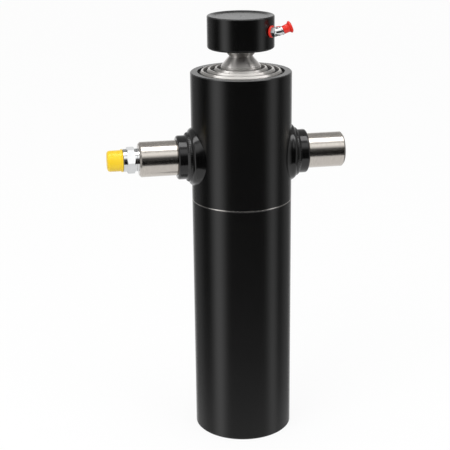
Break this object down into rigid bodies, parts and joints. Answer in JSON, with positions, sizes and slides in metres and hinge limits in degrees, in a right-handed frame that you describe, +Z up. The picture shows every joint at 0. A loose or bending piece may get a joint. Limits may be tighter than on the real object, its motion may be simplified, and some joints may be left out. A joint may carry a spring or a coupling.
{
  "type": "telescopic tipping cylinder",
  "caption": "Telescopic hydraulic cylinder for a tipping body, with side trunnions, an oil port in one of them and a ball and cup on the plunger.",
  "frame": {"origin": "middle of the base's lower face", "axes": "+Z up the cylinder to the ball and cup, +X along the trunnions, with the oil port at the -X end"},
  "size_m": [0.2715, 0.114, 0.4925],
  "materials": {
    "body_paint": "satin black paint",
    "weld_paint": "gloss black paint over a weld bead",
    "cup_paint": "satin black paint",
    "trunnion_steel": "turned, shoulder painted black",
    "stage_steel": "ground and burnished",
    "plunger_steel": "polished",
    "ring_steel": "spring steel",
    "zinc_plate": "bright zinc plate",
    "guide_plastic": "filled bearing resin",
    "wiper_rubber": "polyurethane",
    "seal_rubber": "nitrile rubber",
    "yellow_plastic": "moulded polyethylene",
    "red_plastic": "moulded polyethylene"
  },
  "bodies": {
    "barrel": {"barrel_tube": "body_paint", "base_plate": "body_paint", "base_weld": "body_paint", "trunnion_head": "body_paint", "head_wiper": "wiper_rubber", "head_seal": "seal_rubber", "head_guide_ring": "guide_plastic", "trunnion_left": "trunnion_steel", "trunnion_right": "trunnion_steel", "trunnion_weld_left": "weld_paint", "trunnion_weld_right": "weld_paint", "port_adapter": "zinc_plate", "bonded_seal": "seal_rubber"},
    "port_cap": {"port_cap": "yellow_plastic"},
    "stage_1": {"stage_1_tube": "stage_steel", "stage_1_foot_guide": "guide_plastic", "stage_1_stop_ring": "ring_steel", "stage_1_carrier_ring": "ring_steel", "stage_1_wiper": "wiper_rubber", "stage_1_seal": "seal_rubber", "stage_1_guide_ring": "guide_plastic"},
    "stage_2": {"stage_2_tube": "stage_steel", "stage_2_foot_guide": "guide_plastic", "stage_2_stop_ring": "ring_steel", "stage_2_carrier_ring": "ring_steel", "stage_2_wiper": "wiper_rubber", "stage_2_seal": "seal_rubber", "stage_2_guide_ring": "guide_plastic"},
    "stage_3": {"stage_3_tube": "stage_steel", "stage_3_foot_guide": "guide_plastic", "stage_3_stop_ring": "ring_steel", "stage_3_carrier_ring": "ring_steel", "stage_3_wiper": "wiper_rubber", "stage_3_seal": "seal_rubber", "stage_3_guide_ring": "guide_plastic"},
    "plunger_carriage": {"plunger_foot_guide": "guide_plastic", "plunger_stop_ring": "ring_steel"},
    "plunger": {"plunger_tube": "plunger_steel", "plunger_plug": "ring_steel", "ball_end": "plunger_steel"},
    "cup_ring": {"cup_retaining_ring": "ring_steel"},
    "cup": {"ball_cup": "cup_paint", "grease_nipple": "zinc_plate", "nipple_cap_ring": "red_plastic", "nipple_cap_strap": "red_plastic"},
    "nipple_cap": {"nipple_cap": "red_plastic"}
  },
  "joints": [
    {"name": "port_cap_pull", "type": "slide", "parent": "barrel", "child": "port_cap", "axis": [-1, 0, 0], "range_m": [0, 0.025]},
    {"name": "stage_1_slide", "type": "slide", "parent": "barrel", "child": "stage_1", "axis": [0, 0, 1], "range_m": [0, 0.3036]},
    {"name": "stage_2_slide", "type": "slide", "parent": "stage_1", "child": "stage_2", "axis": [0, 0, 1], "range_m": [0, 0.2996]},
    {"name": "stage_3_slide", "type": "slide", "parent": "stage_2", "child": "stage_3", "axis": [0, 0, 1], "range_m": [0, 0.2955]},
    {"name": "plunger_slide", "type": "slide", "parent": "stage_3", "child": "plunger_carriage", "axis": [0, 0, 1], "range_m": [0, 0.2909]},
    {"name": "plunger_spin", "type": "hinge", "parent": "plunger_carriage", "child": "plunger", "pos_m": [0, 0, 0.436], "axis": [0, 0, 1], "continuous": true},
    {"name": "cup_tilt", "type": "hinge", "parent": "plunger", "child": "cup_ring", "pos_m": [0, 0, 0.463], "axis": [1, 0, 0], "range_deg": [-20, 20]},
    {"name": "cup_spin", "type": "hinge", "parent": "cup_ring", "child": "cup", "pos_m": [0, 0, 0.463], "axis": [0, 0, 1], "continuous": true},
    {"name": "nipple_cap_pull", "type": "slide", "parent": "cup", "child": "nipple_cap", "axis": [0.9228, -0.0131, 0.3851], "range_m": [0, 0.014]}
  ]
}
